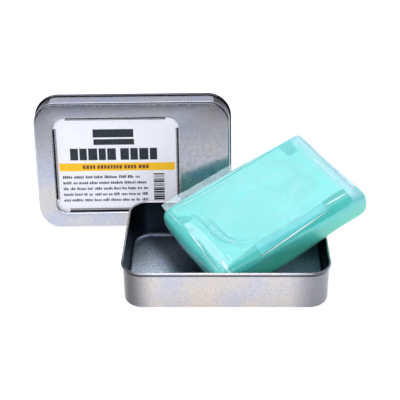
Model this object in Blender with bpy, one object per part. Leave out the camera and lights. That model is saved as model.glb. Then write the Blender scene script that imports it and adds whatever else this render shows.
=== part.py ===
"""Detailing clay bar, sold as a kit: a film-wrapped slab of clay lying across an open slip-lid
tin, with the tin's windowed lid standing behind it.

Frame: the origin is the middle of the tin's underside, X runs along the tin's width, Y from
its front to its back, and Z up. Units are metres.
"""

import math

import bmesh
import bpy
from mathutils import Matrix, Vector

MM = 0.001

# Tinplate
SHEET = 0.3 * MM
CORNER_STEPS = 6
CLEARANCE = 0.3 * MM

# Tin base: sizes over the rolled rim
RIM_WIDTH = 94.0 * MM
RIM_DEPTH = 63.0 * MM
BASE_HEIGHT = 19.5 * MM
RIM_CORNER = 10.0 * MM
BASE_CURL = 0.4 * MM  # radius of the rolled edge, to the middle of the sheet
BASE_BOTTOM_RADIUS = 1.5 * MM

# Lid: sizes over the skirt, without the rolled edge
SKIRT_WIDTH = 95.1 * MM
SKIRT_HEIGHT = 64.1 * MM
SKIRT_CORNER = 11.0 * MM
LID_DEPTH = 13.2 * MM
LID_CURL = 0.5 * MM
LID_EDGE_RADIUS = 0.9 * MM

# Window opening in the lid's face, off centre towards the left
OPENING_WIDTH = 60.9 * MM
OPENING_HEIGHT = 48.4 * MM
OPENING_CORNER = 5.0 * MM
OPENING_X = -8.05 * MM
FLANGE_RADIUS = 0.7 * MM
FLANGE_DEPTH = 1.2 * MM

# Tabs bent back from the opening and folded in behind the card, which they hold with the sheet
TAB_SHORTER = 1.0 * MM  # each end of a tab stops this far from the corner arc
TAB_DEPTH = 3.0 * MM
TAB_FOOT = 3.6 * MM
TAB_RELIEF = 0.02 * MM
SLIT_INSIDE = 1.0 * MM
SLIT_OUTSIDE = 0.6 * MM
SHEET_MARGIN = 3.0 * MM
CARD_MARGIN = 2.5 * MM
CARD_NOTCH = 2.0 * MM
WINDOW_THICK = 0.3 * MM
CARD_THICK = 0.3 * MM

# How the lid stands: on its rolled edge, leaning back
LID_X = -45.3 * MM
LID_Y = 33.6 * MM
LID_LEAN = math.radians(10.15)
LID_YAW = math.radians(1.6)

# Clay slab and its film, in the slab's own axes: length, width and thickness
CLAY = Vector((77.8, 54.7, 14.9)) * MM
CLAY_CORNER = 4.2 * MM
CLAY_EDGE = 3.5 * MM
FILM = 0.3 * MM
FILM_GAP = 0.3 * MM
FILM_SLIT_LENGTH = 34.0 * MM
FILM_SLIT_HEIGHT = 1.4 * MM
BACK_FIN = 3.0 * MM
END_FIN = 2.2 * MM
FIN_SHORTER = 5.0 * MM
TAPE_LENGTH = 33.0 * MM
TAPE_WIDTH = 4.2 * MM
TAPE_X = 5.5 * MM

# How the slab lies: wedged across the tin, its right end over the rim
BAR_CENTRE = Vector((17.85, 10.4, 25.85)) * MM
BAR_YAW = math.radians(26.4)
BAR_PITCH = math.radians(18.5)
BAR_ROLL = math.radians(9.9)

QUARTER = math.pi / 2


def clear_scene():
    for obj in list(bpy.data.objects):
        bpy.data.objects.remove(obj)


def make_material(name, colour, roughness, metallic=0.0, transmission=0.0):
    material = bpy.data.materials.new(name)
    material.use_nodes = True
    shader = material.node_tree.nodes["Principled BSDF"]
    shader.inputs["Base Color"].default_value = (*colour, 1.0)
    shader.inputs["Roughness"].default_value = roughness
    shader.inputs["Metallic"].default_value = metallic
    shader.inputs["Transmission Weight"].default_value = transmission
    material.diffuse_color = (*colour, 1.0)
    return material


def add_object(name, mesh_data, material, parent=None):
    """An object from a bmesh, facing out and shaded smooth but for its sharp edges."""
    bmesh.ops.recalc_face_normals(mesh_data, faces=mesh_data.faces)
    mesh = bpy.data.meshes.new(name)
    mesh_data.to_mesh(mesh)
    mesh_data.free()
    mesh.shade_smooth()
    mesh.set_sharp_from_angle(angle=math.radians(40))
    if material:
        mesh.materials.append(material)
    obj = bpy.data.objects.new(name, mesh)
    bpy.context.scene.collection.objects.link(obj)
    obj.parent = parent
    return obj


def arc(x, z, radius, start, end, steps):
    """Points of a profile's arc, its angles in degrees from +X."""
    points = []
    for step in range(steps + 1):
        angle = math.radians(start + (end - start) * step / steps)
        points.append((x + radius * math.cos(angle), z + radius * math.sin(angle)))
    return points


def ring(half_x, half_y, radius, z, centre_x=0.0, centre_y=0.0):
    """A level rounded rectangle, anticlockwise."""
    points = []
    for quadrant, (side_x, side_y) in enumerate(((1, 1), (-1, 1), (-1, -1), (1, -1))):
        for step in range(CORNER_STEPS + 1):
            angle = (quadrant + step / CORNER_STEPS) * QUARTER
            x = side_x * (half_x - radius) + radius * math.cos(angle)
            y = side_y * (half_y - radius) + radius * math.sin(angle)
            points.append(Vector((centre_x + x, centre_y + y, z)))
    return points


def rings_of(profile, width, depth, corner, centre_x=0.0, centre_y=0.0):
    """One ring for each (offset, z) of a profile, offset outwards from the outline given."""
    rings = []
    for offset, z in profile:
        half_x = width / 2 + offset
        half_y = depth / 2 + offset
        rings.append(ring(half_x, half_y, corner + offset, z, centre_x, centre_y))
    return rings


def loft(rings, joined_ends=False):
    """A closed skin through the rings: capped, or with its last ring joined to its first."""
    mesh_data = bmesh.new()
    loops = [[mesh_data.verts.new(point) for point in points] for points in rings]
    pairs = list(zip(loops, loops[1:]))
    if joined_ends:
        pairs.append((loops[-1], loops[0]))
    else:
        mesh_data.faces.new(loops[0])
        mesh_data.faces.new(loops[-1])
    for low, high in pairs:
        for index in range(len(low)):
            after = (index + 1) % len(low)
            mesh_data.faces.new((low[index], low[after], high[after], high[index]))
    return mesh_data


def box_mesh(low, high):
    mesh_data = bmesh.new()
    size = Vector(high) - Vector(low)
    middle = (Vector(high) + Vector(low)) / 2
    matrix = Matrix.Translation(middle) @ Matrix.Diagonal((*size, 1.0))
    bmesh.ops.create_cube(mesh_data, size=1.0, matrix=matrix)
    return mesh_data


def helper(name, mesh_data, parent):
    """A solid that only shapes another one."""
    obj = add_object(name, mesh_data, None, parent)
    obj.hide_render = True
    obj.display_type = "WIRE"
    return obj


def combine(obj, other, operation):
    modifier = obj.modifiers.new(other.name, "BOOLEAN")
    modifier.operation = operation
    modifier.solver = "EXACT"
    modifier.object = other


def curl_profile(radius, end_z, turn):
    """A sheet's edge rolled outwards by three quarters of a turn.

    It leaves the wall's outer side (offset 0) and comes back to its inner side. The turn is 1
    for an edge at the top of a wall and -1 for one at its foot.
    """
    centre_x = radius - SHEET / 2
    centre_z = end_z - turn * (radius + SHEET / 2)
    hollow = arc(centre_x, 0.0, radius - SHEET / 2, 180, -90, 9)
    outside = arc(centre_x, 0.0, radius + SHEET / 2, -90, 180, 9)
    return [(x, centre_z + turn * z) for x, z in hollow + outside]


def build_base(material):
    """The drawn pan: flat bottom, rounded foot, straight wall and rolled rim."""
    foot = BASE_BOTTOM_RADIUS
    profile = arc(-foot, foot, foot, -90, 0, 4)
    profile += curl_profile(BASE_CURL, BASE_HEIGHT, 1)
    profile += arc(-foot, foot, foot - SHEET, 0, -90, 4)
    overhang = 2 * BASE_CURL
    width = RIM_WIDTH - 2 * overhang
    depth = RIM_DEPTH - 2 * overhang
    rings = rings_of(profile, width, depth, RIM_CORNER - overhang)
    return add_object("tin_base", loft(rings), material)


def lid_empty():
    """The lid's own axes: X right, Y up its face, Z out of its face, Y = 0 at its lower edge."""
    empty = bpy.data.objects.new("lid_axes", None)
    bpy.context.scene.collection.objects.link(empty)
    overhang = 2 * LID_CURL
    rise = overhang * math.cos(LID_LEAN) + (LID_DEPTH - overhang / 2) * math.sin(LID_LEAN)
    stand = Matrix.Rotation(QUARTER - LID_LEAN, 4, "X")
    turn = Matrix.Rotation(LID_YAW, 4, "Z")
    empty.matrix_world = Matrix.Translation((LID_X, LID_Y, rise)) @ turn @ stand
    return empty


def opening_rings(profile):
    """Rings round the window opening, their offsets counted into the metal."""
    return rings_of(
        profile, OPENING_WIDTH, OPENING_HEIGHT, OPENING_CORNER, OPENING_X, SKIRT_HEIGHT / 2
    )


def sides():
    """The opening's four straight sides: (middle, along, outwards, length)."""
    middle = Vector((OPENING_X, SKIRT_HEIGHT / 2, 0.0))
    across = Vector((OPENING_WIDTH / 2, 0.0, 0.0))
    up = Vector((0.0, OPENING_HEIGHT / 2, 0.0))
    wide = OPENING_WIDTH - 2 * OPENING_CORNER - 2 * TAB_SHORTER
    high = OPENING_HEIGHT - 2 * OPENING_CORNER - 2 * TAB_SHORTER
    x = Vector((1.0, 0.0, 0.0))
    y = Vector((0.0, 1.0, 0.0))
    return (
        ("left", middle - across, y, -x, high),
        ("right", middle + across, y, x, high),
        ("bottom", middle - up, x, -y, wide),
        ("top", middle + up, x, y, wide),
    )


def side_prism(side, section, longer=0.0):
    """A section of (outward offset, z) run along one side of the opening."""
    _, middle, along, outwards, length = side
    mesh_data = bmesh.new()
    half = length / 2 + longer
    ends = []
    for distance in (-half, half):
        points = [middle + along * distance + outwards * x + Vector((0, 0, z)) for x, z in section]
        ends.append([mesh_data.verts.new(point) for point in points])
    first, last = ends
    mesh_data.faces.new(first)
    mesh_data.faces.new(last)
    for index in range(len(section)):
        after = (index + 1) % len(section)
        mesh_data.faces.new((first[index], first[after], last[after], last[index]))
    return mesh_data


def rectangle(low_x, high_x, low_z, high_z):
    return [(low_x, low_z), (high_x, low_z), (high_x, high_z), (low_x, high_z)]


def build_lid(material, parent):
    """The drawn lid: face, skirt with a rolled edge, flanged opening and four bent tabs."""
    edge = LID_EDGE_RADIUS
    flange = FLANGE_RADIUS
    flange_out = [(0.0, -FLANGE_DEPTH)] + arc(flange, -flange, flange, 180, 90, 3)
    skirt = arc(-edge, -edge, edge, 90, 0, 3)
    skirt += curl_profile(LID_CURL, -LID_DEPTH, -1)
    skirt += arc(-edge, -edge, edge - SHEET, 0, 90, 3)
    flange_in = arc(flange, -flange, flange - SHEET, 90, 180, 3) + [(SHEET, -FLANGE_DEPTH)]
    rings = opening_rings(flange_out)
    rings += rings_of(skirt, SKIRT_WIDTH, SKIRT_HEIGHT, SKIRT_CORNER, 0.0, SKIRT_HEIGHT / 2)
    rings += opening_rings(flange_in)
    lid = add_object("lid_shell", loft(rings, joined_ends=True), material, parent)
    low = -TAB_DEPTH
    near = TAB_RELIEF
    far = SHEET - TAB_RELIEF
    tab = [(far, low), (-TAB_FOOT, low), (-TAB_FOOT, low + SHEET), (near, low + SHEET)]
    tab += [(near, -FLANGE_RADIUS), (far, -FLANGE_RADIUS)]
    for side in sides():
        combine(lid, helper("tab_" + side[0], side_prism(side, tab), parent), "UNION")
    return lid


def flat_sheet(name, margin, top, thickness, material, parent):
    rings = opening_rings([(margin, top - thickness), (margin, top)])
    return add_object(name, loft(rings), material, parent)


def build_window(material, parent):
    """The clear sheet behind the opening, slit for the tabs."""
    top = -FLANGE_DEPTH - CLEARANCE
    window = flat_sheet("lid_window", SHEET_MARGIN, top, WINDOW_THICK, material, parent)
    slit = rectangle(-SLIT_INSIDE, SLIT_OUTSIDE, top - 2 * WINDOW_THICK, top + WINDOW_THICK)
    for side in sides():
        cutter = helper("slit_" + side[0], side_prism(side, slit, CLEARANCE), parent)
        combine(window, cutter, "DIFFERENCE")
    return window


def build_card(material, parent):
    """The printed card behind the window, notched where the tabs pass it."""
    top = -FLANGE_DEPTH - 2 * CLEARANCE - WINDOW_THICK
    card = flat_sheet("label_card", CARD_MARGIN, top, CARD_THICK, material, parent)
    notch = rectangle(-CARD_NOTCH, 2 * CARD_MARGIN, top - 2 * CARD_THICK, top + CARD_THICK)
    for side in sides():
        cutter = helper("notch_" + side[0], side_prism(side, notch, 2 * CLEARANCE), parent)
        combine(card, cutter, "DIFFERENCE")
    return card


def bar_empty():
    """The slab's own axes, at its middle: X along it, Y across it, Z through it."""
    empty = bpy.data.objects.new("bar_axes", None)
    bpy.context.scene.collection.objects.link(empty)
    turn = Matrix.Rotation(BAR_YAW, 4, "Z")
    tilt = Matrix.Rotation(-BAR_PITCH, 4, "Y")
    roll = Matrix.Rotation(BAR_ROLL, 4, "X")
    empty.matrix_world = Matrix.Translation(BAR_CENTRE) @ turn @ tilt @ roll
    return empty


def pillow_rings(grow):
    """Rings of the slab's rounded block, grown outwards on every side."""
    edge = CLAY_EDGE + grow
    half = CLAY.z / 2 + grow
    profile = arc(-edge, -half + edge, edge, -90, 0, 4)
    profile += arc(-edge, half - edge, edge, 0, 90, 4)
    width = CLAY.x + 2 * grow
    depth = CLAY.y + 2 * grow
    return rings_of(profile, width, depth, CLAY_CORNER + grow)


def build_clay(material, parent):
    return add_object("clay_bar", loft(pillow_rings(0.0)), material, parent)


def build_film(material, parent):
    """The film round the slab, with its free margins and the gaps where its ends are folded."""
    outer = FILM_GAP + FILM
    film = add_object("film_wrap", loft(pillow_rings(outer)), material, parent)
    top = CLAY.z / 2 + outer
    back = CLAY.y / 2
    end = CLAY.x / 2
    fin_z = top - CLAY_EDGE / 2
    back_fin = box_mesh(
        (-end + FIN_SHORTER, back - CLAY_EDGE, fin_z - FILM),
        (end - FIN_SHORTER, back + outer + BACK_FIN, fin_z),
    )
    end_fin = box_mesh(
        (end - CLAY_EDGE, -back + FIN_SHORTER, fin_z - FILM),
        (end + outer + END_FIN, back - FIN_SHORTER, fin_z),
    )
    combine(film, helper("back_fin", back_fin, parent), "UNION")
    combine(film, helper("end_fin", end_fin, parent), "UNION")
    combine(film, helper("film_inside", loft(pillow_rings(FILM_GAP)), parent), "DIFFERENCE")
    half_slit = Vector((end + 5 * outer, FILM_SLIT_LENGTH / 2, FILM_SLIT_HEIGHT / 2))
    combine(film, helper("end_slits", box_mesh(-half_slit, half_slit), parent), "DIFFERENCE")
    return film


def build_tape(material, parent):
    """The strip that holds the film's overlap down, along the front of the slab's top."""
    low_z = CLAY.z / 2 + FILM_GAP + FILM + CLEARANCE
    front = -CLAY.y / 2 + CLAY_EDGE
    low = (TAPE_X - TAPE_LENGTH / 2, front, low_z)
    high = (TAPE_X + TAPE_LENGTH / 2, front + TAPE_WIDTH, low_z + FILM)
    return add_object("film_tape", box_mesh(low, high), material, parent)


def main():
    clear_scene()
    base_metal = make_material("tinplate_base", (0.62, 0.61, 0.62), 0.32, metallic=1.0)
    lid_metal = make_material("tinplate_lid", (0.62, 0.61, 0.62), 0.34, metallic=1.0)
    clear_sheet = make_material("clear_sheet", (0.95, 0.96, 1.0), 0.05, transmission=1.0)
    card = make_material("white_card", (0.88, 0.88, 0.93), 0.5)
    clay = make_material("aqua_clay", (0.16, 0.78, 0.68), 0.45)
    film = make_material("clear_film", (0.85, 0.97, 0.98), 0.08, transmission=1.0)
    tape = make_material("clear_tape", (0.75, 0.95, 0.95), 0.25, transmission=0.6)
    build_base(base_metal)
    lid_axes = lid_empty()
    build_lid(lid_metal, lid_axes)
    build_window(clear_sheet, lid_axes)
    build_card(card, lid_axes)
    bar_axes = bar_empty()
    build_clay(clay, bar_axes)
    build_film(film, bar_axes)
    build_tape(tape, bar_axes)


main()
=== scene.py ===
"""The looks of a detailing clay bar kit: an open slip-lid tin, its windowed lid standing behind
it, and a film-wrapped slab of clay lying across the tin.

Lengths are in metres. The tin's pieces are built in the row frame, the lid's in the lid's own
axes and the slab's in the slab's own axes.
"""

import math
import random

import bmesh
import bpy
from mathutils import Matrix, Vector, noise
from mathutils.bvhtree import BVHTree


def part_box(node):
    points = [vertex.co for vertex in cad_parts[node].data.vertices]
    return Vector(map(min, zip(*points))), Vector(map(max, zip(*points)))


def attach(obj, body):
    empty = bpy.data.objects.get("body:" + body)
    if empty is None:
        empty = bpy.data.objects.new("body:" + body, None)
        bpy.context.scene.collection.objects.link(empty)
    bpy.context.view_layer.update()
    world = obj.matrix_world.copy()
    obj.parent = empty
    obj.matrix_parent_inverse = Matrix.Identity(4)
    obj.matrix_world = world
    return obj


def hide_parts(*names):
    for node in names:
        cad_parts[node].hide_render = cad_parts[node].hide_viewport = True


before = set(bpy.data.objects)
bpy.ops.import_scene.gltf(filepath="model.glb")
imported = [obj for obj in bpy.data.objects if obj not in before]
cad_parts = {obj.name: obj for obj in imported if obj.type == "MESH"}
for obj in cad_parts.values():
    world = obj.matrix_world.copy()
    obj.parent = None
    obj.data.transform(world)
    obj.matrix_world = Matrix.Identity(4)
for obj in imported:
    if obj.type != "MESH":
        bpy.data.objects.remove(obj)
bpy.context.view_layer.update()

MM = 0.001
QUARTER = math.pi / 2
CORNER_STEPS = 16

# Tinplate
SHEET = 0.3 * MM
BASE_CURL = 0.4 * MM
BASE_CORNER = 10.0 * MM
BASE_FOOT = 1.5 * MM
BASE_FILLET = 2.4 * MM
SKIRT_WIDTH = 95.1 * MM
SKIRT_HEIGHT = 64.1 * MM
SKIRT_CORNER = 11.0 * MM
LID_DEPTH = 13.2 * MM
LID_CURL = 0.5 * MM
LID_EDGE = 1.4 * MM

# Window opening, tabs, clear sheet and card, in the lid's own axes
OPENING = Vector((60.9, 48.4)) * MM
OPENING_CORNER = 5.0 * MM
OPENING_MIDDLE = Vector((-8.05 * MM, SKIRT_HEIGHT / 2, 0.0))
FLANGE = 0.7 * MM
FLANGE_DEPTH = 1.2 * MM
TAB_DEPTH = 3.0 * MM
TAB_FOOT = 3.6 * MM
TAB_SHORTER = 1.0 * MM
TAB_RELIEF = 0.02 * MM
SLIT_INSIDE = 0.65 * MM
SLIT_OUTSIDE = 0.6 * MM
SLIT_HOOK = 0.9 * MM
CARD_NOTCH = 1.35 * MM
SHEET_MARGIN = 3.0 * MM
CARD_MARGIN = 2.5 * MM
WINDOW_TOP = -1.5 * MM
WINDOW_THICK = 0.3 * MM
CARD_TOP = -2.1 * MM
CARD_THICK = 0.3 * MM
INK = 0.04 * MM
INK_SUNK = 0.02 * MM

# Where the lid stands and how the slab lies, as in the CAD model
LID_PLACE = Vector((-45.3, 33.6)) * MM
LID_LEAN = math.radians(10.15)
LID_YAW = math.radians(1.6)
BAR_CENTRE = Vector((17.85, 10.4, 25.85)) * MM
BAR_YAW = math.radians(26.4)
BAR_PITCH = math.radians(18.5)
BAR_ROLL = math.radians(9.9)

# Slab and film, in the slab's own axes
CLAY_HALF = Vector((77.8, 54.7, 14.9)) * MM / 2
CLAY_ROUND = 3.9 * MM
RIGHT_BULGE = 2.5 * MM
LEFT_BULGE = 2.3 * MM
FAR_BULGE = 1.1 * MM
SAG = 3.3 * MM
SAG_LESS_RIGHT = 3.8 * MM
SAG_LESS_LEFT = 2.3 * MM
FILM_GROW = 0.4 * MM
FILM_THICK = 0.05 * MM
MARGIN_THICK = 0.08 * MM
GRID = 0.8 * MM

# Stage
# Painted pool of light: the floor's glow near the tin and far from it.
FLOOR_GLOW = 0.72
FLOOR_FAR_GLOW = 0.15
CAMERA_PLACE = Vector((0.0, -396.44, 273.22)) * MM
CAMERA_TILT = math.radians(59.364)
CAMERA_LENS = 91.07
CAMERA_SHIFT = -0.065


# ---------------------------------------------------------------- meshes


def arc(x, z, radius, start, end, steps):
    """Points of a profile's arc, its angles in degrees from +X."""
    points = []
    for step in range(steps + 1):
        angle = math.radians(start + (end - start) * step / steps)
        points.append((x + radius * math.cos(angle), z + radius * math.sin(angle)))
    return points


def ring(half_x, half_y, radius, z, middle):
    """A level rounded rectangle, anticlockwise."""
    points = []
    for quadrant, (side_x, side_y) in enumerate(((1, 1), (-1, 1), (-1, -1), (1, -1))):
        for step in range(CORNER_STEPS + 1):
            angle = (quadrant + step / CORNER_STEPS) * QUARTER
            x = side_x * (half_x - radius) + radius * math.cos(angle)
            y = side_y * (half_y - radius) + radius * math.sin(angle)
            points.append(Vector((middle.x + x, middle.y + y, z)))
    return points


def rings_of(profile, width, depth, corner, middle=Vector((0.0, 0.0, 0.0))):
    """One ring for each (offset, z) of a profile, offset outwards from the outline given."""
    rings = []
    for offset, z in profile:
        half_x = width / 2 + offset
        half_y = depth / 2 + offset
        rings.append(ring(half_x, half_y, corner + offset, z, middle))
    return rings


def loft(rings, joined_ends=False):
    """A closed skin through the rings: capped, or with its last ring joined to its first."""
    mesh_data = bmesh.new()
    loops = [[mesh_data.verts.new(point) for point in points] for points in rings]
    pairs = list(zip(loops, loops[1:]))
    if joined_ends:
        pairs.append((loops[-1], loops[0]))
    else:
        mesh_data.faces.new(loops[0])
        mesh_data.faces.new(loops[-1])
    for low, high in pairs:
        for index in range(len(low)):
            after = (index + 1) % len(low)
            mesh_data.faces.new((low[index], low[after], high[after], high[index]))
    return mesh_data


def curl_profile(radius, end_z, turn):
    """A sheet's edge rolled outwards by three quarters of a turn, from the outer side to the inner.

    The turn is 1 for an edge at the top of a wall and -1 for one at its foot.
    """
    centre_x = radius - SHEET / 2
    centre_z = end_z - turn * (radius + SHEET / 2)
    hollow = arc(centre_x, 0.0, radius - SHEET / 2, 180, -90, 14)
    outside = arc(centre_x, 0.0, radius + SHEET / 2, -90, 180, 20)
    return [(x, centre_z + turn * z) for x, z in hollow + outside]


def add_box(mesh_data, low, high):
    size = Vector(high) - Vector(low)
    middle = (Vector(high) + Vector(low)) / 2
    matrix = Matrix.Translation(middle) @ Matrix.Diagonal((*size, 1.0))
    bmesh.ops.create_cube(mesh_data, size=1.0, matrix=matrix)


def as_object(name, mesh_data, sharp=40):
    """An object from a bmesh, facing out and shaded smooth but for its sharp edges."""
    bmesh.ops.recalc_face_normals(mesh_data, faces=mesh_data.faces)
    mesh = bpy.data.meshes.new(name)
    mesh_data.to_mesh(mesh)
    mesh_data.free()
    mesh.shade_smooth()
    mesh.set_sharp_from_angle(angle=math.radians(sharp))
    obj = bpy.data.objects.new(name, mesh)
    bpy.context.scene.collection.objects.link(obj)
    return obj


def place(obj, material, body, matrix=None, nodes=()):
    """Gives a piece its material, its place and its body, and hides the CAD nodes that it stands for."""
    if not obj.data.materials:
        obj.data.materials.append(material)
    if matrix:
        obj.matrix_world = matrix
    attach(obj, body)
    if nodes:
        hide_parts(*nodes)
    return obj


def apply_booleans(obj, cutters, operation):
    """Joins or cuts the object with the cutters, and removes them."""
    for cutter in cutters:
        modifier = obj.modifiers.new(cutter.name, "BOOLEAN")
        modifier.operation = operation
        modifier.solver = "EXACT"
        modifier.object = cutter
    bpy.context.view_layer.update()
    graph = bpy.context.evaluated_depsgraph_get()
    mesh = bpy.data.meshes.new_from_object(obj.evaluated_get(graph))
    obj.modifiers.clear()
    obj.data = mesh
    mesh.shade_smooth()
    mesh.set_sharp_from_angle(angle=math.radians(40))
    for cutter in cutters:
        bpy.data.objects.remove(cutter)


# ---------------------------------------------------------------- materials


def new_material(name):
    material = bpy.data.materials.new(name)
    material.use_nodes = True
    tree = material.node_tree
    return material, tree, tree.nodes["Principled BSDF"]


def add_node(tree, kind, inputs=None, **settings):
    """A node with its settings, and its sockets set to values or linked to other sockets."""
    made = tree.nodes.new("ShaderNode" + kind)
    for name, value in settings.items():
        setattr(made, name, value)
    for name, value in (inputs or {}).items():
        if isinstance(value, bpy.types.NodeSocket):
            tree.links.new(value, made.inputs[name])
        else:
            made.inputs[name].default_value = value
    return made


def object_noise(tree, scale, detail=2.0, stretch=None, distortion=0.0):
    """Noise in the piece's own coordinates, with a feature size of about 1 / scale metres."""
    place_of = add_node(tree, "TexCoord").outputs["Object"]
    if stretch:
        place_of = add_node(tree, "Mapping", {"Vector": place_of, "Scale": stretch}).outputs[0]
    made = add_node(
        tree,
        "TexNoise",
        {"Vector": place_of, "Scale": scale, "Detail": detail, "Distortion": distortion},
    )
    return made.outputs["Fac"]


def remap(tree, value, low, high, from_low=0.35, from_high=0.65):
    made = add_node(
        tree,
        "MapRange",
        {"Value": value, "From Min": from_low, "From Max": from_high, "To Min": low, "To Max": high},
    )
    return made.outputs["Result"]


def smooth_remap(tree, value, from_low, from_high, low, high):
    made = add_node(
        tree,
        "MapRange",
        {"Value": value, "From Min": from_low, "From Max": from_high, "To Min": low, "To Max": high},
        interpolation_type="SMOOTHSTEP",
    )
    return made.outputs["Result"]


def blend_colours(tree, factor, first, second):
    made = add_node(tree, "Mix", data_type="RGBA")
    made.inputs["Factor"].default_value = 0.5
    if isinstance(factor, bpy.types.NodeSocket):
        tree.links.new(factor, made.inputs["Factor"])
    for socket, colour in ((made.inputs[6], first), (made.inputs[7], second)):
        if isinstance(colour, bpy.types.NodeSocket):
            tree.links.new(colour, socket)
        else:
            socket.default_value = (*colour, 1.0)
    return made.outputs[2]


def add_bump(tree, shader, height, distance, strength=1.0, sockets=("Normal",)):
    bump = add_node(tree, "Bump", {"Height": height, "Distance": distance, "Strength": strength})
    for name in sockets:
        tree.links.new(bump.outputs["Normal"], shader.inputs[name])


def separate_position(tree):
    """The piece's own coordinates, as the X, Y and Z of a point."""
    return add_node(tree, "SeparateXYZ", {"Vector": add_node(tree, "TexCoord").outputs["Object"]})


def multiply(tree, first, second):
    return add_node(tree, "Math", {0: first, 1: second}, operation="MULTIPLY").outputs[0]


def base_shade(tree):
    """Painted shade: darker where the front corners turn away, and a painted shadow in the groove under
    the rolled rim.
    """
    axis = separate_position(tree)
    left = smooth_remap(tree, axis.outputs["X"], -44 * MM, -31 * MM, 0.20, 1.0)
    right = smooth_remap(tree, axis.outputs["X"], 26 * MM, 40 * MM, 1.0, 0.475)
    back = smooth_remap(tree, axis.outputs["Y"], -29 * MM, -12 * MM, 0.0, 1.0)
    corners = multiply(tree, left, right)
    ends = add_node(tree, "Math", {0: corners, 1: back}, operation="MAXIMUM").outputs[0]
    middle = add_node(tree, "Math", {0: axis.outputs["Z"], 1: 17.95 * MM}, operation="SUBTRACT")
    apart = add_node(tree, "Math", {0: middle.outputs[0]}, operation="ABSOLUTE").outputs[0]
    groove = smooth_remap(tree, apart, 0.60 * MM, 0.90 * MM, 0.20, 1.0)
    return multiply(tree, ends, groove)


def lid_shade(tree):
    """Painted reflection and shade: darker towards the top of the face, which mirrors the dim room,
    round the rolled edge, and in a thin line along the face's top edge.
    """
    axis = separate_position(tree)
    face = smooth_remap(tree, axis.outputs["Y"], 22 * MM, 62 * MM, 1.0, 0.70)
    behind = add_node(tree, "Math", {0: axis.outputs["Z"], 1: 12.35 * MM}, operation="ADD").outputs[0]
    apart = add_node(tree, "Math", {0: behind}, operation="ABSOLUTE").outputs[0]
    curl = smooth_remap(tree, apart, 0.45 * MM, 0.65 * MM, 0.22, 1.0)
    depth = smooth_remap(tree, axis.outputs["Z"], -0.60 * MM, -0.50 * MM, 1.0, 0.0)
    front = smooth_remap(tree, axis.outputs["Z"], -0.03 * MM, -0.01 * MM, 0.0, 1.0)
    clear = add_node(tree, "Math", {0: depth, 1: front}, operation="MAXIMUM").outputs[0]
    low = smooth_remap(tree, axis.outputs["Y"], 58.5 * MM, 61 * MM, 1.0, 0.0)
    clear = add_node(tree, "Math", {0: clear, 1: low}, operation="MAXIMUM").outputs[0]
    edge = add_node(tree, "Math", {0: clear, 1: 0.72, 2: 0.28}, operation="MULTIPLY_ADD")
    return multiply(tree, multiply(tree, face, curl), edge.outputs[0])


def inside_shade(tree):
    """Painted shade for the inside of the tin: dark walls, which only see each other, and a painted
    shadow of the slab on its floor.
    """
    axis = separate_position(tree)
    walls = smooth_remap(tree, axis.outputs["Z"], 0.6 * MM, 1.3 * MM, 1.0, 0.055)
    across = multiply(tree, axis.outputs["X"], math.cos(BAR_YAW))
    turned = add_node(
        tree, "Math", {0: axis.outputs["Y"], 1: math.sin(BAR_YAW), 2: across}, operation="MULTIPLY_ADD"
    )
    under = smooth_remap(tree, turned.outputs[0], -28 * MM, -19 * MM, 1.0, 0.32)
    return multiply(tree, walls, under)


def tinplate(name, warm, cool, speckle, roughness, shade=None):
    """Satin tinplate: fine matt grain over broad, faint tints."""
    material, tree, shader = new_material(name)
    shader.inputs["Metallic"].default_value = 1.0
    grain = object_noise(tree, 2300.0, 3.0)
    tint = object_noise(tree, 60.0, 3.0)
    plain = blend_colours(tree, remap(tree, tint, 0.0, 1.0), warm, cool)
    value = remap(tree, grain, 1.0 - speckle, 1.0 + speckle)
    if shade:
        # Painted shade: the shade mask darkens the colour and turns it towards the cool tint.
        level = shade(tree)
        plain = blend_colours(tree, level, cool, plain)
        value = multiply(tree, value, level)
    toned = add_node(tree, "HueSaturation", {"Color": plain, "Value": value})
    tree.links.new(toned.outputs["Color"], shader.inputs["Base Color"])
    rough = remap(tree, object_noise(tree, 420.0), roughness - 0.03, roughness + 0.03)
    tree.links.new(rough, shader.inputs["Roughness"])
    return material


def card_stock():
    """Coated white card with a faint fibre."""
    material, tree, shader = new_material("coated_card")
    fibre = object_noise(tree, 900.0, 4.0, (1.0, 0.35, 1.0))
    colour = blend_colours(tree, remap(tree, fibre, 0.0, 1.0), (0.88, 0.88, 0.96), (0.91, 0.91, 0.98))
    tree.links.new(colour, shader.inputs["Base Color"])
    shader.inputs["Roughness"].default_value = 0.5
    add_bump(tree, shader, fibre, 0.01 * MM)
    return material


def ink(name, colour, mottle=0.12):
    """Printed ink with a slight unevenness."""
    material, tree, shader = new_material(name)
    thin = tuple(min(1.0, channel * (1.0 + mottle) + 0.004) for channel in colour)
    spots = remap(tree, object_noise(tree, 1500.0, 2.0), 0.0, 1.0)
    tree.links.new(blend_colours(tree, spots, colour, thin), shader.inputs["Base Color"])
    shader.inputs["Roughness"].default_value = 0.42
    shader.inputs["Specular IOR Level"].default_value = 0.25
    return material


def clear_sheet():
    """The window's stiff clear sheet."""
    material, tree, shader = new_material("clear_window_sheet")
    shader.inputs["Base Color"].default_value = (0.2, 0.22, 0.27, 1.0)
    shader.inputs["IOR"].default_value = 1.55
    waves = object_noise(tree, 90.0, 1.0)
    tree.links.new(remap(tree, waves, 0.05, 0.09), shader.inputs["Roughness"])
    tree.links.new(remap(tree, waves, 0.02, 0.035), shader.inputs["Alpha"])
    add_bump(tree, shader, waves, 0.05 * MM)
    return material


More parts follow.
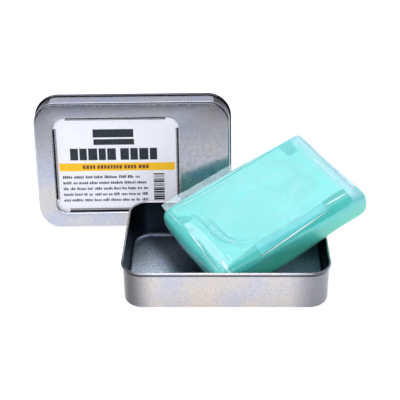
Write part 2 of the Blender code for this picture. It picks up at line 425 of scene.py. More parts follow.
def clay_material():
    """Kneadable clay: soft, a little translucent, with the sheen of the film that clings to it."""
    material, tree, shader = new_material("aqua_clay")
    streaks = object_noise(tree, 60.0, 4.0, (1.0, 1.6, 2.5), 1.2)
    colour = blend_colours(
        tree, remap(tree, streaks, 0.0, 1.0), (0.028, 0.55, 0.49), (0.055, 0.62, 0.57)
    )
    # Painted shade: the lower part of the slab turns a greener teal.
    height = separate_position(tree).outputs["Z"]
    upper = smooth_remap(tree, height, -4.0 * MM, 5.5 * MM, 0.0, 1.0)
    colour = blend_colours(tree, upper, (0.032, 0.59, 0.42), colour)
    tree.links.new(colour, shader.inputs["Base Color"])
    shader.inputs["Subsurface Weight"].default_value = 0.25
    shader.inputs["Subsurface Radius"].default_value = (0.3, 1.0, 0.85)
    shader.inputs["Subsurface Scale"].default_value = 2.5 * MM
    shader.inputs["Roughness"].default_value = 0.45
    shader.inputs["Coat Weight"].default_value = 0.8
    shader.inputs["Coat Roughness"].default_value = 0.14
    shader.inputs["Coat IOR"].default_value = 1.6
    cling = object_noise(tree, 130.0, 3.0, (1.0, 1.8, 1.0), 1.0)
    add_bump(tree, shader, cling, 0.12 * MM, 1.0, ("Coat Normal",))
    return material


def film_material(name, colour, low_alpha, high_alpha, roughness=0.12, wrinkle=0.03):
    """Clear film whose haze comes and goes where it leaves and touches the clay."""
    material, tree, shader = new_material(name)
    shader.inputs["Base Color"].default_value = (*colour, 1.0)
    shader.inputs["IOR"].default_value = 1.9
    shader.inputs["Roughness"].default_value = roughness
    patches = object_noise(tree, 75.0, 3.0, (1.0, 1.5, 1.0), 1.5)
    tree.links.new(remap(tree, patches, low_alpha, high_alpha), shader.inputs["Alpha"])
    wrinkles = object_noise(tree, 260.0, 3.0, (1.0, 2.2, 1.0), 2.0)
    add_bump(tree, shader, wrinkles, wrinkle * MM)
    return material


def skin_material():
    """The film round the slab: a paler oval where it lifts off the top, and a pale right end."""
    material, tree, shader = new_material("clear_film")
    shader.inputs["IOR"].default_value = 2.0
    shader.inputs["Roughness"].default_value = 0.13
    position = add_node(tree, "TexCoord").outputs["Object"]
    flat = add_node(tree, "Mapping", {"Vector": position, "Location": (-0.05, -0.11, 0.0)})
    flat.inputs["Scale"].default_value = (1 / (28 * MM), 1 / (22 * MM), 0.0)
    apart = add_node(tree, "VectorMath", {0: flat.outputs[0]}, operation="LENGTH").outputs["Value"]
    streaks = object_noise(tree, 55.0, 4.0, (1.0, 1.6, 1.0), 2.5)
    wavy = remap(tree, streaks, -0.14, 0.14)
    edge = add_node(tree, "Math", {0: apart, 1: wavy}, operation="ADD").outputs[0]
    oval = smooth_remap(tree, edge, 0.84, 1.10, 1.0, 0.0)
    axis = add_node(tree, "SeparateXYZ", {"Vector": position})
    right = smooth_remap(tree, axis.outputs["X"], 29.5 * MM, 36.0 * MM, 0.0, 1.0)
    top = smooth_remap(tree, axis.outputs["Z"], 5.0 * MM, 7.4 * MM, 0.0, 1.0)
    veil = add_node(tree, "Math", {0: oval, 1: 0.055, 2: 0.0}, operation="MULTIPLY_ADD").outputs[0]
    veil = add_node(tree, "Math", {0: right, 1: 0.14, 2: veil}, operation="MULTIPLY_ADD").outputs[0]
    veil = add_node(tree, "Math", {0: veil, 1: top, 2: 0.058}, operation="MULTIPLY_ADD").outputs[0]
    fine = remap(tree, streaks, -0.03, 0.03)
    veil = add_node(tree, "Math", {0: veil, 1: fine}, operation="ADD").outputs[0]
    tree.links.new(veil, shader.inputs["Alpha"])
    colour = blend_colours(tree, right, (0.50, 0.90, 0.97), (0.72, 0.84, 1.0))
    tree.links.new(colour, shader.inputs["Base Color"])
    wrinkles = object_noise(tree, 120.0, 4.0, (0.6, 1.8, 1.0), 2.0)
    add_bump(tree, shader, wrinkles, 0.06 * MM)
    return material


# ---------------------------------------------------------------- tin base


def inside_faces(mesh_data, is_inside, index):
    for face in mesh_data.faces:
        if is_inside(face):
            face.material_index = index


def build_base(outside, inside):
    """The drawn pan: flat bottom, rounded foot, straight wall and rolled rim."""
    low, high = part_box("tin_base")
    profile = arc(-BASE_FOOT, BASE_FOOT, BASE_FOOT, -90, 0, 8)
    profile += curl_profile(BASE_CURL, high.z, 1)
    wall = -SHEET
    profile += arc(wall - BASE_FILLET, SHEET + BASE_FILLET, BASE_FILLET, 0, -90, 12)
    overhang = 2 * BASE_CURL
    width = high.x - low.x - 2 * overhang
    depth = high.y - low.y - 2 * overhang
    mesh_data = loft(rings_of(profile, width, depth, BASE_CORNER - overhang))
    bmesh.ops.recalc_face_normals(mesh_data, faces=mesh_data.faces)

    def is_inside(face):
        middle = face.calc_center_median()
        if middle.z > high.z - 1.2 * MM:
            return False
        flat = Vector((middle.x, middle.y, 0.0))
        return face.normal.z > 0.5 or (face.normal.dot(flat) < 0.0 and face.normal.z > -0.2)

    inside_faces(mesh_data, is_inside, 1)
    base = as_object("tin_base_drawn", mesh_data)
    base.data.materials.append(outside)
    base.data.materials.append(inside)
    return place(base, outside, "base", None, ["tin_base"])


# ---------------------------------------------------------------- lid


def lid_matrix():
    """The lid's own axes: X right, Y up its face, Z out of its face, Y = 0 at its lower edge."""
    overhang = 2 * LID_CURL
    rise = overhang * math.cos(LID_LEAN) + (LID_DEPTH - overhang / 2) * math.sin(LID_LEAN)
    stand = Matrix.Rotation(QUARTER - LID_LEAN, 4, "X")
    turn = Matrix.Rotation(LID_YAW, 4, "Z")
    return Matrix.Translation((LID_PLACE.x, LID_PLACE.y, rise)) @ turn @ stand


def opening_rings(profile):
    return rings_of(profile, OPENING.x, OPENING.y, OPENING_CORNER, OPENING_MIDDLE)


def opening_sides():
    """The opening's four straight sides: (name, middle, along, outwards, length)."""
    wide = OPENING.x - 2 * OPENING_CORNER - 2 * TAB_SHORTER
    high = OPENING.y - 2 * OPENING_CORNER - 2 * TAB_SHORTER
    x = Vector((1.0, 0.0, 0.0))
    y = Vector((0.0, 1.0, 0.0))
    return (
        ("left", OPENING_MIDDLE - x * OPENING.x / 2, y, -x, high),
        ("right", OPENING_MIDDLE + x * OPENING.x / 2, y, x, high),
        ("bottom", OPENING_MIDDLE - y * OPENING.y / 2, x, -y, wide),
        ("top", OPENING_MIDDLE + y * OPENING.y / 2, x, y, wide),
    )


def side_prism(side, section, longer=0.0):
    """A section of (outward offset, z) run along one side of the opening."""
    _, middle, along, outwards, length = side
    mesh_data = bmesh.new()
    half = length / 2 + longer
    ends = []
    for distance in (-half, half):
        points = [middle + along * distance + outwards * x + Vector((0, 0, z)) for x, z in section]
        ends.append([mesh_data.verts.new(point) for point in points])
    first, last = ends
    mesh_data.faces.new(first)
    mesh_data.faces.new(last)
    for index in range(len(section)):
        after = (index + 1) % len(section)
        mesh_data.faces.new((first[index], first[after], last[after], last[index]))
    return mesh_data


def rectangle(low_x, high_x, low_z, high_z):
    return [(low_x, low_z), (high_x, low_z), (high_x, high_z), (low_x, high_z)]


def tab_section():
    """A tab's section: down from the flange, then folded in behind the card with a round bend."""
    near = TAB_RELIEF
    far = SHEET - TAB_RELIEF
    bend = 2 * SHEET
    low = -TAB_DEPTH
    outer = arc(far - bend, low + bend, bend, 0, -90, 6)
    inner = arc(near - bend + SHEET, low + bend, bend - SHEET, -90, 0, 6)
    section = [(far, -FLANGE)] + outer + [(-TAB_FOOT, low), (-TAB_FOOT, low + SHEET)]
    return section + inner + [(near, -FLANGE)]


def build_lid(outside, inside, shaded, matrix):
    """The drawn lid: face, skirt with a rolled edge, flanged opening and four folded tabs."""
    flange_out = [(0.0, -FLANGE_DEPTH)] + arc(FLANGE, -FLANGE, FLANGE, 180, 90, 8)
    skirt = arc(-LID_EDGE, -LID_EDGE, LID_EDGE, 90, 0, 8)
    skirt += curl_profile(LID_CURL, -LID_DEPTH, -1)
    skirt += arc(-LID_EDGE, -LID_EDGE, LID_EDGE - SHEET, 0, 90, 8)
    flange_in = arc(FLANGE, -FLANGE, FLANGE - SHEET, 90, 180, 8) + [(SHEET, -FLANGE_DEPTH)]
    rings = opening_rings(flange_out)
    middle = Vector((0.0, SKIRT_HEIGHT / 2, 0.0))
    rings += rings_of(skirt, SKIRT_WIDTH, SKIRT_HEIGHT, SKIRT_CORNER, middle)
    rings += opening_rings(flange_in)
    lid = as_object("lid_drawn", loft(rings, joined_ends=True))
    tabs = []
    for side in opening_sides():
        tabs.append(as_object("tab_" + side[0], side_prism(side, tab_section())))
    apply_booleans(lid, tabs, "UNION")
    lid.data.materials.clear()
    for material in (outside, inside, shaded):
        lid.data.materials.append(material)
    for polygon in lid.data.polygons:
        away = polygon.center - Vector((0.0, SKIRT_HEIGHT / 2, polygon.center.z))
        in_skirt = polygon.normal.dot(away) < 0.0 and abs(polygon.normal.z) < 0.6
        deep = polygon.center.z > -LID_DEPTH + 1.2 * MM
        behind = polygon.center.z < -SHEET / 2
        on_skirt = max(abs(away.x) - SKIRT_WIDTH / 2, abs(away.y) - SKIRT_HEIGHT / 2) > -2 * SHEET
        back = polygon.normal.z < -0.5 and behind
        polygon.material_index = int(deep and (back or (in_skirt and on_skirt)))
        # Tab faces that don't face the back of the lid take the near-black tinplate: painted shadow,
        # seen through the slits.
        if not on_skirt and polygon.center.z < -FLANGE_DEPTH:
            polygon.material_index = 1 if polygon.normal.z < -0.3 else 2
    return place(lid, outside, "lid", matrix, ["lid_shell"])


def slit_cutter(side, low_z, high_z, low_x, high_x, hook):
    """A slit beside a tab, with a small round hook at each end."""
    name, middle, along, outwards, length = side
    half = length / 2 + 0.3 * MM
    section = rectangle(low_x, high_x, low_z, high_z)
    cutters = [as_object("slit_" + name, side_prism(side, section, 0.3 * MM))]
    if hook:
        for distance in (-half, half):
            disc = bmesh.new()
            bmesh.ops.create_cone(
                disc,
                cap_ends=True,
                segments=20,
                radius1=hook / 2,
                radius2=hook / 2,
                depth=high_z - low_z,
            )
            made = as_object(f"hook_{name}", disc)
            where = middle + along * distance - outwards * (SLIT_INSIDE - hook / 2)
            made.location = where + Vector((0.0, 0.0, (high_z + low_z) / 2))
            cutters.append(made)
    return cutters


def build_window(material, matrix):
    profile = [(SHEET_MARGIN, WINDOW_TOP - WINDOW_THICK), (SHEET_MARGIN, WINDOW_TOP)]
    window = as_object("window_sheet", loft(opening_rings(profile)))
    cutters = []
    for side in opening_sides():
        low, high = WINDOW_TOP - 2 * WINDOW_THICK, WINDOW_TOP + WINDOW_THICK
        cutters += slit_cutter(side, low, high, -SLIT_INSIDE, SLIT_OUTSIDE, SLIT_HOOK)
    apply_booleans(window, cutters, "DIFFERENCE")
    return place(window, material, "lid", matrix, ["lid_window"])


def build_lips(material, matrix):
    """Grey film on the clear sheet's lips between its slits and the card: painted sheen where the lips
    catch the light.
    """
    mesh_data = bmesh.new()
    for side in opening_sides():
        section = rectangle(-CARD_NOTCH, -SLIT_INSIDE - 0.05 * MM, WINDOW_TOP, WINDOW_TOP + INK)
        part = bpy.data.meshes.new("lip")
        piece = side_prism(side, section)
        piece.to_mesh(part)
        piece.free()
        mesh_data.from_mesh(part)
        bpy.data.meshes.remove(part)
    return place(as_object("window_lips", mesh_data), material, "lid", matrix)


def build_card(material, matrix):
    profile = [(CARD_MARGIN, CARD_TOP - CARD_THICK), (CARD_MARGIN, CARD_TOP)]
    card = as_object("printed_card", loft(opening_rings(profile)))
    cutters = []
    for side in opening_sides():
        low, high = CARD_TOP - 2 * CARD_THICK, CARD_TOP + CARD_THICK
        cutters += slit_cutter(side, low, high, -CARD_NOTCH, 2 * CARD_MARGIN, 0.0)
    apply_booleans(card, cutters, "DIFFERENCE")
    return place(card, material, "lid", matrix, ["label_card"])


# ---------------------------------------------------------------- print on the card


def add_block(mesh_data, left, right, low, high):
    """A patch of ink, from millimetres measured from the opening's middle."""
    bottom = CARD_TOP - INK_SUNK
    corner = OPENING_MIDDLE + Vector((left * MM, low * MM, bottom))
    opposite = OPENING_MIDDLE + Vector((right * MM, high * MM, CARD_TOP + INK))
    add_box(mesh_data, corner, opposite)


def add_word(mesh_data, rng, left, right, low, high, blocks, gap):
    """A row of plain blocks that stands in for a word."""
    shares = [rng.uniform(0.8, 1.2) for _ in range(blocks)]
    room = right - left - gap * (blocks - 1)
    x = left
    for share in shares:
        wide = room * share / sum(shares)
        add_block(mesh_data, x, x + wide, low, high)
        x += wide + gap


def add_text_line(mesh_data, rng, left, right, middle, height):
    """A line of small plain dashes of word length, ending at the right."""
    x = left
    while x < right - 1.0:
        wide = min(rng.uniform(1.8, 6.4), right - x)
        letter = x
        while letter < x + wide - 0.3:
            tall = height * rng.choice((0.82, 0.82, 1.0, 1.15))
            stroke = min(rng.uniform(0.45, 0.85), x + wide - letter)
            foot = middle - height / 2
            add_block(mesh_data, letter, letter + stroke, foot, foot + tall)
            letter += stroke + 0.24
        x += wide + 0.75


def build_print(matrix):
    """Generic blocks where the card is printed: headings, a band, text lines and code bars."""
    rng = random.Random(7)
    dark = bmesh.new()
    add_block(dark, -11.3, 8.5, 14.0, 18.1)
    add_block(dark, -11.1, 8.7, 10.2, 13.1)
    add_word(dark, rng, -22.8, -0.4, 2.4, 8.4, 5, 0.7)
    add_word(dark, rng, 1.8, 19.8, 2.4, 8.4, 4, 0.7)
    bar = -4.8
    while bar > -18.6:
        thick = rng.choice((0.25, 0.4, 0.4, 0.7, 0.95))
        add_block(dark, 17.7, 23.0, bar - thick, bar)
        bar -= thick + rng.choice((0.25, 0.3, 0.4, 0.55))
    fine = bmesh.new()
    line_ends = (11.9, 14.1, 14.8, 16.2, 14.6)
    for row, end in enumerate(line_ends):
        add_text_line(fine, rng, -27.0, end, -6.4 - 3.02 * row, 1.25)
    band = bmesh.new()
    add_block(band, -28.4, 28.4, -3.15, 0.85)
    on_band = bmesh.new()
    x = -17.0
    for wide in (6.2, 12.0, 6.0, 5.4):
        end = min(x + wide, 15.4)
        add_word(on_band, rng, x, end, -2.1, -0.2, max(3, round(wide / 1.6)), 0.4)
        x = end + 1.1
    for mesh_data, name, material in (
        (dark, "card_print_dark", ink("slate_ink", (0.008, 0.016, 0.022))),
        (fine, "card_print_fine", ink("grey_ink", (0.03, 0.035, 0.05))),
        (band, "card_band", ink("yellow_ink", (0.98, 0.54, 0.002), 0.03)),
        (on_band, "card_band_print", ink("brown_ink", (0.16, 0.06, 0.01))),
    ):
        if name == "card_band_print":
            for vert in mesh_data.verts:
                vert.co.z += INK / 2
        place(as_object(name, mesh_data), material, "lid", matrix)


# ---------------------------------------------------------------- slab and film


def bar_matrix():
    """The slab's own axes, at its middle: X along it, Y across it, Z through it."""
    turn = Matrix.Rotation(BAR_YAW, 4, "Z")
    tilt = Matrix.Rotation(-BAR_PITCH, 4, "Y")
    roll = Matrix.Rotation(BAR_ROLL, 4, "X")
    return Matrix.Translation(BAR_CENTRE) @ turn @ tilt @ roll


def smooth_step(value, low, high):
    share = min(1.0, max(0.0, (value - low) / (high - low)))
    return share * share * (3.0 - 2.0 * share)


def wave(point, scale, seed):
    """Smooth noise from -1 to 1 with a feature size of about `scale`."""
    return noise.noise(Vector(point) / scale + Vector((seed, 2.0 * seed, 3.0 * seed)))


def handled(point):
    """How handling has shaped the slab: full ends and far side, and a lower edge that sags."""
    half = CLAY_HALF
    x, y, z = point
    waist = 1.0 - (z / half.z) ** 2 * 0.8
    left = smooth_step(-x, 0.7 * half.x, half.x) * smooth_step(y, -20 * MM, 12 * MM)
    right = smooth_step(x, 0.7 * half.x, half.x) * smooth_step(-y, -12 * MM, 20 * MM)
    x += (right * RIGHT_BULGE - left * LEFT_BULGE) * waist
    far = smooth_step(y, 0.6 * half.y, half.y) * (1.0 - (x / (1.1 * half.x)) ** 2)
    y += FAR_BULGE * far
    under = smooth_step(-z, -0.2 * half.z, half.z) * smooth_step(-y, -5 * MM, half.y)
    drop = SAG - SAG_LESS_RIGHT * smooth_step(x, -10 * MM, 30 * MM)
    drop -= SAG_LESS_LEFT * smooth_step(-x, 10 * MM, 32 * MM)
    z -= drop * under
    return Vector((x, y, z))


def rounded_block(grow, detail):
    """A dense block with round edges, shaped by handling, then moved along its normals."""
    half = CLAY_HALF + Vector((grow, grow, grow))
    radius = CLAY_ROUND + grow
    mesh_data = bmesh.new()
    bmesh.ops.create_cube(mesh_data, size=2.0)
    for axis in range(3):
        edges = []
        for edge in mesh_data.edges:
            along = edge.verts[1].co - edge.verts[0].co
            if abs(along[axis]) > 0.9 * along.length:
                edges.append(edge)
        bmesh.ops.subdivide_edges(mesh_data, edges=edges, cuts=int(2 * half[axis] / GRID))
    for vert in mesh_data.verts:
        point = Vector(vert.co[axis] * half[axis] for axis in range(3))
        core = Vector(
            min(max(point[axis], radius - half[axis]), half[axis] - radius) for axis in range(3)
        )
        vert.co = handled(core + (point - core).normalized() * radius)
    mesh_data.normal_update()
    moves = [detail(vert.co, vert.normal) for vert in mesh_data.verts]
    normals = [vert.normal.copy() for vert in mesh_data.verts]
    for vert, normal, move in zip(mesh_data.verts, normals, moves):
        vert.co += normal * move
    return mesh_data


def clay_detail(point, normal):
    """Soft dents and rounded lumps of worked clay."""
    return 0.10 * MM * wave(point, 14 * MM, 1.0) + 0.04 * MM * wave(point, 4 * MM, 2.0)


def film_detail(point, normal):
    """Film that follows the clay, lifts off in the middle of the top and puckers at the edges."""
    x, y = point.x, point.y
    lift = 0.10 * MM * wave(point, 14 * MM, 1.0)
    inner = 1.0 - smooth_step(math.hypot(x / 30, y / 20) / MM, 0.7, 1.0)
    if point.z > 0:
        lift += 0.15 * MM * inner
    edge = smooth_step(abs(x), 0.62 * CLAY_HALF.x, CLAY_HALF.x)
    pucker = wave((x * 0.4, y * 1.6, point.z), 3.5 * MM, 4.0)
    lift += 0.10 * MM * edge * pucker
    lift += 0.05 * MM * wave((x, y * 2.0, point.z), 6 * MM, 5.0)
    return max(lift, -0.05 * MM)


def drape(tree, points, lift):
    """The points dropped onto the wrapped slab's top, and out from it by the lift."""
    moved = []
    for point in points:
        where, normal, _, _ = tree.ray_cast(point, Vector((0.0, 0.0, -1.0)))
        if where is None or normal.z < 0.1:
            where, normal, _, _ = tree.find_nearest(point - Vector((0.0, 0.0, 2 * MM)))
        moved.append(where + normal * lift)
    return moved


def smooth_line(points, steps=6):
    """A curve through the (x, y) points, as `steps` short pieces for each gap."""
    points = [Vector(point) for point in points]
    padded = [points[0] * 2 - points[1]] + points + [points[-1] * 2 - points[-2]]
    made = []
    for before, first, last, after in zip(padded, padded[1:], padded[2:], padded[3:]):
        for step in range(steps):
            share = step / steps
            bend = (2 * before - 5 * first + 4 * last - after) * share * share
            bend += (3 * first - before - 3 * last + after) * share ** 3
            made.append(first + ((last - before) * share + bend) / 2)
    return made + [points[-1]]


def patch_mesh(rows, thickness):
    """A thin closed sheet over a grid of points, thickened upwards along its normals."""
    mesh_data = bmesh.new()
    verts = [[mesh_data.verts.new(point) for point in row] for row in rows]
    for low, high in zip(verts, verts[1:]):
        for index in range(len(low) - 1):
            mesh_data.faces.new((low[index], low[index + 1], high[index + 1], high[index]))
    bmesh.ops.recalc_face_normals(mesh_data, faces=mesh_data.faces)
    bmesh.ops.solidify(mesh_data, geom=mesh_data.faces[:], thickness=thickness)
    return mesh_data


def surface_patch(tree, first_edge, last_edge, lift, thickness=0.04, across=8):
    """A patch of film laid on the slab's top between two edges, in millimetres."""
    count = 60
    edges = []
    for edge in (first_edge, last_edge):
        line = smooth_line(edge)
        spread = []
        for index in range(count + 1):
            along = index / count * (len(line) - 1)
            low = min(int(along), len(line) - 2)
            spread.append(line[low].lerp(line[low + 1], along - low))
        edges.append(spread)
    rows = []
    for step in range(across + 1):
        row = []
        for first, last in zip(*edges):
            x, y = first.lerp(last, step / across) * MM
            row.append(Vector((x, y, CLAY_HALF.z + 2 * MM)))
        rows.append(drape(tree, row, lift * MM))
    return patch_mesh(rows, thickness * MM)


def crease(tree, points, width, lift=0.1):
    """A narrow ridge of film along the (x, y) points, pinched in at its ends, in millimetres."""
    line = smooth_line(points)
    left = []
    right = []
    for index, point in enumerate(line):
        ahead = line[min(index + 1, len(line) - 1)] - line[max(index - 1, 0)]
        side = Vector((-ahead.y, ahead.x)).normalized()
        share = index / (len(line) - 1)
        half = width / 2 * (0.25 + 0.75 * math.sin(math.pi * min(1.0, max(0.0, share))))
        left.append(point + side * half)
        right.append(point - side * half)
    return surface_patch(tree, left, right, lift, 0.05, 2)


def build_slab(matrix):
    clay = as_object("clay_slab", rounded_block(0.0, clay_detail), 180)
    place(clay, clay_material(), "bar", matrix, ["clay_bar"])

    skin_data = rounded_block(FILM_GROW, film_detail)
    tree = BVHTree.FromBMesh(skin_data)
    skin = as_object("wrap_skin", skin_data, 180)
    solid = skin.modifiers.new("film_thickness", "SOLIDIFY")
    solid.thickness = FILM_THICK
    place(skin, skin_material(), "bar", matrix, ["film_wrap"])

    build_margins(matrix)
    build_overlaps(tree, matrix)


def margin_strip(points, across, thickness):
    """A free margin of film: a strip from inner to outer points, gently wavy across."""
    rows = []
    for step in range(across + 1):
        share = step / across
        rows.append([inner.lerp(outer, share) for inner, outer in points])
    return patch_mesh(rows, thickness)


def build_margins(matrix):
    """The film's free margins, which stand out past the slab's far edge and its right end."""
    top = CLAY_HALF.z + 0.2 * MM
    material = film_material("film_margin", (0.62, 0.88, 0.93), 0.18, 0.34, 0.22, 0.02)
    far = []
    steps = 120
    for step in range(steps + 1):
        share = step / steps
        x = (-38.6 + share * 76.0) * MM
        tip = 3.6 + 2.2 * smooth_step(share, 0.86, 0.99) - 1.0 * smooth_step(-share, -0.12, 0.0)
        tip += 0.5 * wave((x, 0.0, 0.0), 9 * MM, 6.0) + 0.15 * wave((x, 0.0, 0.0), 3.5 * MM, 7.0)
        rise = 0.5 * wave((x, 0.0, 0.0), 16 * MM, 8.0) - 0.4
        inner = Vector((x, CLAY_HALF.y - 2.6 * MM, top - 0.5 * MM))
        outer = Vector((x + 0.6 * MM * share, CLAY_HALF.y + tip * MM * 0.8, top + rise * MM))
        far.append((inner, outer))
    margin = as_object("film_far_margin", margin_strip(far, 8, MARGIN_THICK), 60)
    place(margin, material, "bar", matrix)
    end = []
    for step in range(steps + 1):
        share = step / steps
        y = (-21.0 + share * 48.0) * MM
        tip = 0.4 + 2.6 * smooth_step(share, 0.0, 0.35)
        tip += 0.45 * wave((y, 0.0, 0.0), 8 * MM, 9.0) + 0.12 * wave((y, 0.0, 0.0), 4.0 * MM, 10.0)
        rise = 0.6 * wave((y, 0.0, 0.0), 10 * MM, 11.0) - 0.5
        inner = Vector((CLAY_HALF.x - 2.4 * MM, y, top - 0.5 * MM))
        outer = Vector((CLAY_HALF.x + tip * MM, y + 0.8 * MM * share, top + rise * MM))
        end.append((inner, outer))
    margin = as_object("film_end_margin", margin_strip(end, 8, MARGIN_THICK), 60)
    place(margin, material, "bar", matrix)


def build_overlaps(tree, matrix):
    """Film that lies double: the overlap along the front, its strip, and the folded corners, with
    painted shade on the rounded edges and painted highlights on the creases.
    """
    # Dark teal overlay: partly film lying double, partly painted shade where the front overlap and the
    # left end run onto the rounded edges.
    dark_teal_overlay = film_material("film_overlap_and_shade", (0.04, 0.66, 0.60), 0.32, 0.40, 0.35, 0.01)
    faint = film_material("film_double", (0.03, 0.74, 0.78), 0.12, 0.18, 0.2, 0.01)
    pale = film_material("pale_strip", (0.13, 0.78, 0.80), 0.40, 0.48, 0.3, 0.01)
    fold = film_material("folded_film", (0.40, 0.97, 1.0), 0.34, 0.42, 0.2, 0.01)
    # Whitish ridges: real creases of the film with painted highlights along them.
    bright = film_material("film_crease_highlight", (0.80, 1.0, 1.0), 0.45, 0.70, 0.2, 0.01)
    patches = (
        (
            "film_overlap_and_shade",
            dark_teal_overlay,
            [(-31.5, -23.5), (-24.5, -22.0), (-15.0, -20.5), (0.0, -20.0), (20.0, -19.5), (33.5, -18.5)],
            [(-31.5, -27.5), (-24.5, -27.0), (-15.0, -27.0), (0.0, -27.0), (20.0, -27.0), (33.5, -26.5)],
            0.13,
        ),
        (
            "film_fold",
            fold,
            [(-36.0, 11.0), (-35.5, 5.5), (-35.5, 0.0), (-34.5, -4.0), (-34.5, -12.0), (-33.5, -24.5)],
            [(-33.5, 11.0), (-32.0, 5.0), (-31.0, -1.0), (-30.5, -8.5), (-30.0, -17.0), (-31.5, -24.5)],
            0.16,
        ),
        # A dark strip down the left end's rounded edge: painted shade.
        (
            "film_fold_shade",
            dark_teal_overlay,
            [(-36.0, 1.0), (-36.5, -7.0), (-36.5, -15.0), (-35.5, -23.5)],
            [(-35.5, 0.5), (-35.0, -5.0), (-35.0, -14.0), (-34.5, -23.0)],
            0.12,
        ),
        (
            "film_corner_left",
            faint,
            [(-37.0, 19.0), (-36.5, 14.5), (-36.5, 10.5)],
            [(-30.0, 13.5), (-31.0, 12.0), (-34.5, 11.0)],
            0.1,
        ),
        (
            "film_corner_right",
            faint,
            [(24.5, 23.5), (28.0, 24.5), (31.5, 24.0)],
            [(25.5, 16.0), (28.0, 16.0), (30.5, 16.0)],
            0.1,
        ),
        (
            "film_end_right",
            dark_teal_overlay,
            [(21.5, -19.0), (27.0, -18.5), (33.5, -18.5)],
            [(21.5, -20.5), (27.0, -20.0), (33.0, -19.5)],
            0.2,
        ),
    )
    for name, material, first_edge, last_edge, lift in patches:
        mesh_data = surface_patch(tree, first_edge, last_edge, lift)
        place(as_object(name, mesh_data, 60), material, "bar", matrix)

    strip_data = surface_patch(
        tree,
        [(-16.0, -21.5), (2.5, -20.5), (21.0, -20.0)],
        [(-16.0, -26.5), (2.5, -25.5), (21.0, -24.5)],
        0.24,
    )
    strip = as_object("seal_strip", strip_data, 60)
    place(strip, pale, "bar", matrix, ["film_tape"])

    # Crease ridges, partly real creases and partly painted highlights on the fold edges.
    creases = (
        ([(-16.0, -27.0), (2.5, -26.0), (21.0, -25.0)], 0.5, 0.31),
        ([(-36.0, 6.5), (-36.0, 1.0), (-36.0, -4.0), (-36.5, -11.5)], 0.6, 0.22),
        ([(-36.5, -9.0), (-36.5, -15.0), (-36.5, -23.0)], 0.3, 0.16),
        ([(-38.0, 24.5), (-37.5, 19.5), (-37.0, 11.0)], 0.3, 0.12),
        ([(-28.5, -17.5), (-28.5, -22.0)], 0.4, 0.2),
        ([(-32.0, -18.5), (-32.5, -22.0), (-33.0, -26.0)], 0.9, 0.22),
        ([(21.5, -22.0), (27.0, -22.0), (33.5, -22.0)], 0.7, 0.24),
        ([(-36.0, 24.5), (-20.0, 24.0), (0.0, 24.5), (20.0, 25.0), (35.5, 25.5)], 0.4, 0.12),
        ([(30.5, 15.0), (33.5, 6.0), (34.0, -6.0), (33.0, -15.0)], 0.3, 0.1),
    )
    for index, (points, width, lift) in enumerate(creases):
        ridge = as_object(f"film_crease_highlight_{index + 1}", crease(tree, points, width, lift), 60)
        place(ridge, bright, "bar", matrix)

    soft = film_material("film_soft_crease", (0.50, 0.96, 1.0), 0.10, 0.18, 0.35, 0.01)
    bands = (
        ([(-29.5, 14.5), (-28.0, 6.5), (-27.5, -3.0), (-25.5, -10.5), (-20.5, -18.0)], 1.5, faint),
        ([(-28.0, 13.5), (-26.0, 4.0), (-25.5, -4.0), (-23.5, -11.5), (-17.0, -18.5)], 1.0, soft),
        ([(-26.0, 12.5), (-24.5, 2.0), (-23.5, -6.0), (-20.5, -13.0), (-12.0, -18.5)], 1.2, faint),
        ([(-34.0, 23.0), (-26.0, 22.0), (-16.0, 21.5), (-4.0, 22.5)], 1.2, soft),
        ([(-31.5, -23.0), (-15.5, -20.0), (0.0, -20.0), (20.0, -19.0), (33.0, -18.0)], 0.7, soft),
    )
    for index, (points, width, material) in enumerate(bands):
        band = as_object(f"film_band_{index + 1}", crease(tree, points, width, 0.2), 60)
        place(band, material, "bar", matrix)


# ---------------------------------------------------------------- stage


def build_floor():
    floor_data = bmesh.new()
    bmesh.ops.create_grid(floor_data, x_segments=1, y_segments=1, size=3.0)
    floor = as_object("floor", floor_data)
    material, tree, shader = new_material("floor_painted_light")
    shader.inputs["Base Color"].default_value = (0.5, 0.5, 0.5, 1.0)
    shader.inputs["Roughness"].default_value = 0.9
    shader.inputs["Specular IOR Level"].default_value = 0.0
    # Painted pool of light: the floor glows, brightest near the tin and fading outwards, which also
    # lights the pieces from below and washes out their shadows.
    shader.inputs["Emission Color"].default_value = (1.0, 1.0, 1.0, 1.0)
    position = add_node(tree, "TexCoord").outputs["Object"]
    middle = (0.0, 0.15, 0.0)
    apart = add_node(tree, "VectorMath", {0: position, 1: middle}, operation="DISTANCE")
    glow = remap(tree, apart.outputs["Value"], FLOOR_GLOW, FLOOR_FAR_GLOW, 0.32, 0.62)
    tree.links.new(glow, shader.inputs["Emission Strength"])
    floor.data.materials.append(material)


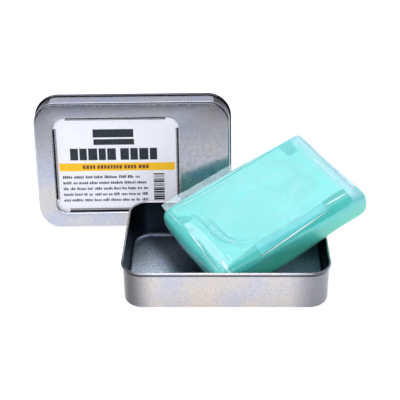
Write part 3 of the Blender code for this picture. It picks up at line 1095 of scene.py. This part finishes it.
def build_lights():
    """A softbox overhead, one above the camera, and a pale room that is dark in front."""
    add_area("softbox_top", (-0.15, 0.30, 0.75), (0.0, 0.0, 0.0), (0.7, 0.5), 2.4)
    add_area("softbox_front", (-0.12, -0.66, 0.54), (0.0, 0.0, 0.02), (0.9, 0.5), 6.0)

    world = bpy.data.worlds.new("room")
    bpy.context.scene.world = world
    world.use_nodes = True
    tree = world.node_tree
    direction = add_node(tree, "TexCoord").outputs["Generated"]
    axis = add_node(tree, "SeparateXYZ", {"Vector": direction})
    backwards = multiply(tree, axis.outputs["Y"], 0.8)
    upwards = multiply(tree, axis.outputs["Z"], 0.5)
    level = add_node(tree, "Math", {0: backwards, 1: upwards}, operation="ADD").outputs[0]
    fade = smooth_remap(tree, level, -0.2, 0.6, 0.07, 1.0)
    background = tree.nodes["Background"]
    background.inputs["Color"].default_value = (0.86, 0.87, 1.0, 1.0)
    tree.links.new(fade, background.inputs["Strength"])


def add_area(name, place_of, target, size, watts):
    light = bpy.data.lights.new(name, "AREA")
    light.shape = "RECTANGLE"
    light.size, light.size_y = size
    light.energy = watts
    obj = bpy.data.objects.new(name, light)
    bpy.context.scene.collection.objects.link(obj)
    obj.location = place_of
    obj.rotation_euler = (Vector(target) - Vector(place_of)).to_track_quat("-Z", "Y").to_euler()


def build_camera():
    camera = bpy.data.cameras.new("camera")
    camera.lens = CAMERA_LENS
    camera.sensor_width = 36.0
    camera.shift_x = CAMERA_SHIFT
    obj = bpy.data.objects.new("camera", camera)
    bpy.context.scene.collection.objects.link(obj)
    obj.location = CAMERA_PLACE
    obj.rotation_euler = (CAMERA_TILT, 0.0, 0.0)
    bpy.context.scene.camera = obj


def main():
    build_camera()
    warm = (0.58, 0.535, 0.49)
    cool = (0.49, 0.50, 0.57)
    base_outside = tinplate("tinplate_base", warm, cool, 0.10, 0.25, base_shade)
    neutral = (0.55, 0.535, 0.525)
    cooler = (0.465, 0.495, 0.60)
    lid_outside = tinplate("tinplate_lid", neutral, cooler, 0.14, 0.25, lid_shade)
    bluish = (0.66, 0.80, 1.0)
    greyish = (0.60, 0.73, 0.96)
    base_inside = tinplate("tinplate_inside", bluish, greyish, 0.48, 0.38, inside_shade)
    # A darker copy of the tinplate for the back of the lid and of its tabs: painted shade.
    lid_inside = tinplate("tinplate_back", (0.42, 0.42, 0.46), (0.38, 0.38, 0.42), 0.12, 0.28)
    # Near-black tinplate for the tabs seen through the slits: painted shadow.
    lid_shaded = tinplate("tinplate_shaded", (0.02, 0.02, 0.025), (0.03, 0.03, 0.035), 0.1, 0.4)
    build_base(base_outside, base_inside)
    lid_axes = lid_matrix()
    build_lid(lid_outside, lid_inside, lid_shaded, lid_axes)
    build_window(clear_sheet(), lid_axes)
    # The lips' grey film is painted sheen.
    build_lips(film_material("lip_painted_sheen", (0.42, 0.42, 0.46), 0.50, 0.70, 0.2, 0.01), lid_axes)
    build_card(card_stock(), lid_axes)
    build_print(lid_axes)
    build_slab(bar_matrix())
    build_floor()
    build_lights()
    bpy.context.scene.view_settings.view_transform = "Standard"


main()
